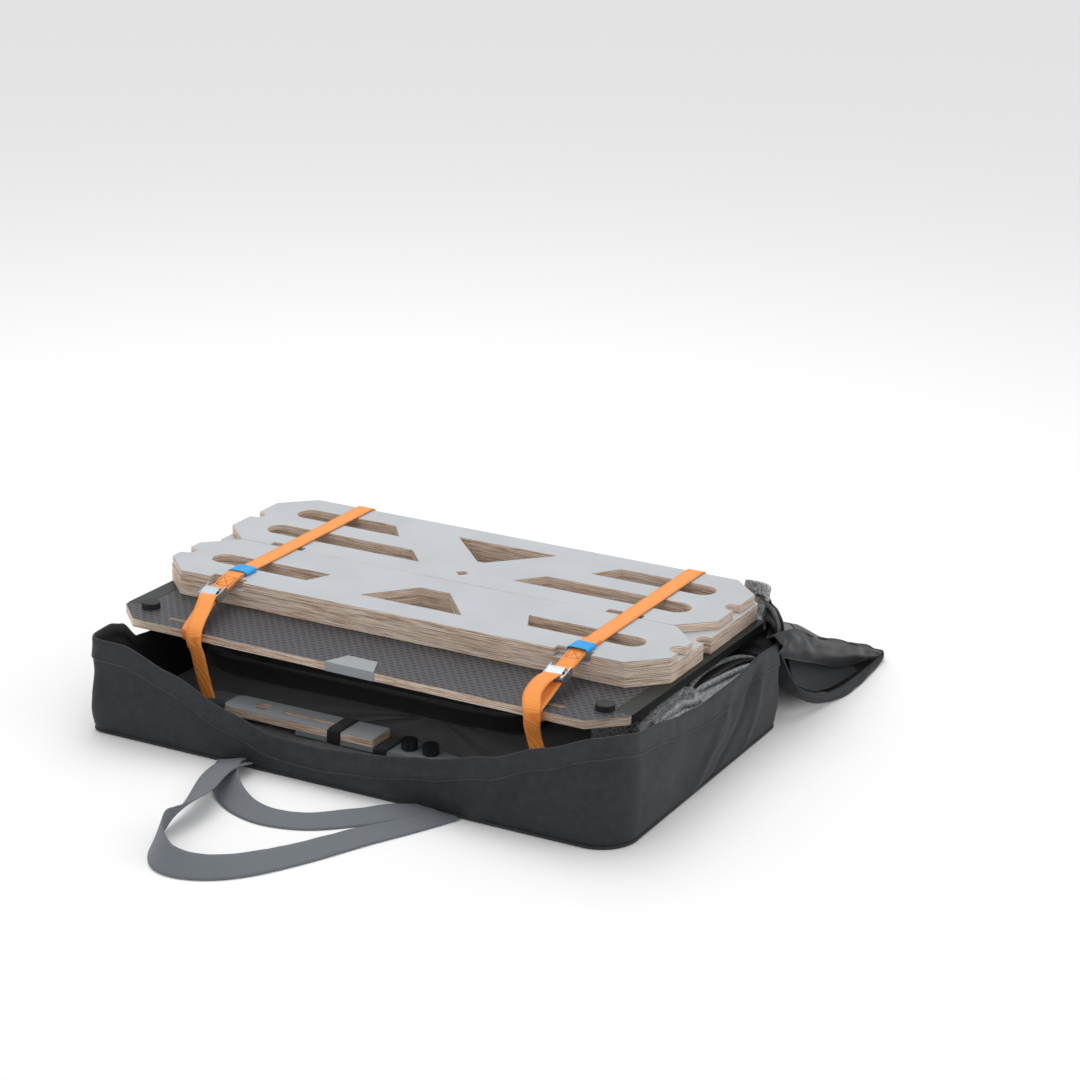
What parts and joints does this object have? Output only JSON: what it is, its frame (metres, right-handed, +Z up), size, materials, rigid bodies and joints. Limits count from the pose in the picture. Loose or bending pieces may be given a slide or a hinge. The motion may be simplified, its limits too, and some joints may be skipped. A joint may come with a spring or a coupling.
{
  "type": "camping furniture board kit in a carry bag",
  "caption": "Strapped stack of slotted film-faced plywood camping boards lying in an open dark fabric carry bag with webbing handles.",
  "frame": {"origin": "centre of the bag's flat base, on the ground", "axes": "+Z up, X along the bag's long side, +Y from the handles towards the lid hinge"},
  "size_m": [0.892, 1.1664, 0.1691],
  "materials": {
    "grey_film_plywood": "grey phenolic film on both faces, raw birch edges",
    "anti_slip_plywood": "dark mesh-embossed film on top, raw birch edges",
    "anodised_rail": "dark satin profile",
    "black_rubber": "moulded rubber",
    "grey_badge": "satin, blank",
    "orange_webbing": "woven polyester webbing",
    "blue_keeper": "smooth",
    "zinc_buckle": "bright zinc plated",
    "plated_steel": "zinc plated",
    "dark_felt": "needle felt",
    "heather_felt": "heather grey felt",
    "grey_webbing": "ribbed polyester webbing",
    "hook_and_loop": "hook and loop band",
    "black_nylon": "moulded glass-filled nylon",
    "grey_bracket": "satin powder coat",
    "zip_black": "coil zip",
    "bag_fabric": "coated woven polyester"
  },
  "bodies": {
    "bag": {"bag_back_flap": "bag_fabric", "bag_back_panel": "bag_fabric", "bag_base": "bag_fabric", "bag_corner_gusset": "bag_fabric", "bag_front_panel": "bag_fabric", "bag_left_panel": "bag_fabric", "bag_right_panel": "bag_fabric", "floor_mat": "dark_felt", "folded_cushion": "dark_felt", "felt_cover": "heather_felt", "zip_chain": "zip_black"},
    "pack": {"top_front_board": "grey_film_plywood", "top_back_board": "grey_film_plywood", "middle_board": "grey_film_plywood", "bottom_board": "grey_film_plywood", "deck_board": "anti_slip_plywood", "left_edge_rail": "anodised_rail", "right_edge_rail": "anodised_rail", "rubber_feet": "black_rubber", "badge_plate": "grey_badge", "lower_grey_board": "grey_film_plywood", "left_buckle_body": "zinc_buckle", "left_cam_pin": "plated_steel", "left_cam_spring": "plated_steel", "left_strap_loop": "orange_webbing", "left_strap_sleeve": "blue_keeper", "left_strap_tail": "orange_webbing", "right_buckle_body": "zinc_buckle", "right_cam_pin": "plated_steel", "right_cam_spring": "plated_steel", "right_strap_loop": "orange_webbing", "right_strap_sleeve": "blue_keeper", "right_strap_tail": "orange_webbing"},
    "left_lever": {"left_cam_lever": "zinc_buckle"},
    "right_lever": {"right_cam_lever": "zinc_buckle"},
    "bundle": {"brace_bar": "grey_film_plywood", "bracket_plate": "grey_bracket", "corner_plate": "grey_film_plywood", "left_band": "hook_and_loop", "right_band": "hook_and_loop", "knob_studs": "plated_steel"},
    "left_knob": {"left_knob": "black_nylon"},
    "right_knob": {"right_knob": "black_nylon"},
    "slider": {"zip_slider": "zip_black"},
    "lid": {"lid_end_gussets": "bag_fabric", "lid_front_gusset": "bag_fabric", "lid_panel": "bag_fabric"},
    "handles": {"outer_handle": "grey_webbing", "inner_handle": "grey_webbing"}
  },
  "joints": [
    {"name": "pack_lift", "type": "slide", "parent": "bag", "child": "pack", "axis": [0, 0, 1], "range_m": [0, 0.15]},
    {"name": "left_cam_release", "type": "hinge", "parent": "pack", "child": "left_lever", "pos_m": [-0.322, -0.06408, 0.15734], "axis": [-1, 0, 0], "range_deg": [0, 60], "stiffness_Nm_per_rad": 0.05, "springref_deg": -17.19},
    {"name": "right_cam_release", "type": "hinge", "parent": "pack", "child": "right_lever", "pos_m": [0.222, -0.08095, 0.15386], "axis": [-1, 0, 0], "range_deg": [0, 60], "stiffness_Nm_per_rad": 0.05, "springref_deg": -17.19},
    {"name": "bundle_lift", "type": "slide", "parent": "bag", "child": "bundle", "axis": [0, 0, 1], "range_m": [0, 0.05]},
    {"name": "left_knob_turn", "type": "hinge", "parent": "bundle", "child": "left_knob", "pos_m": [0.034, -0.137, 0.03], "axis": [0, 0, 1], "continuous": true},
    {"name": "right_knob_turn", "type": "hinge", "parent": "bundle", "child": "right_knob", "pos_m": [0.067, -0.138, 0.03], "axis": [0, 0, 1], "continuous": true},
    {"name": "zip_slide", "type": "slide", "parent": "bag", "child": "slider", "axis": [0, -1, 0], "range_m": [0, 0.4]},
    {"name": "lid_swing", "type": "hinge", "parent": "bag", "child": "lid", "pos_m": [0, 0.403, 0.098], "axis": [1, 0, 0], "range_deg": [0, 95]},
    {"name": "handle_swing", "type": "hinge", "parent": "bag", "child": "handles", "pos_m": [0, -0.2575, 0.002], "axis": [-1, 0, 0], "range_deg": [0, 75]}
  ]
}
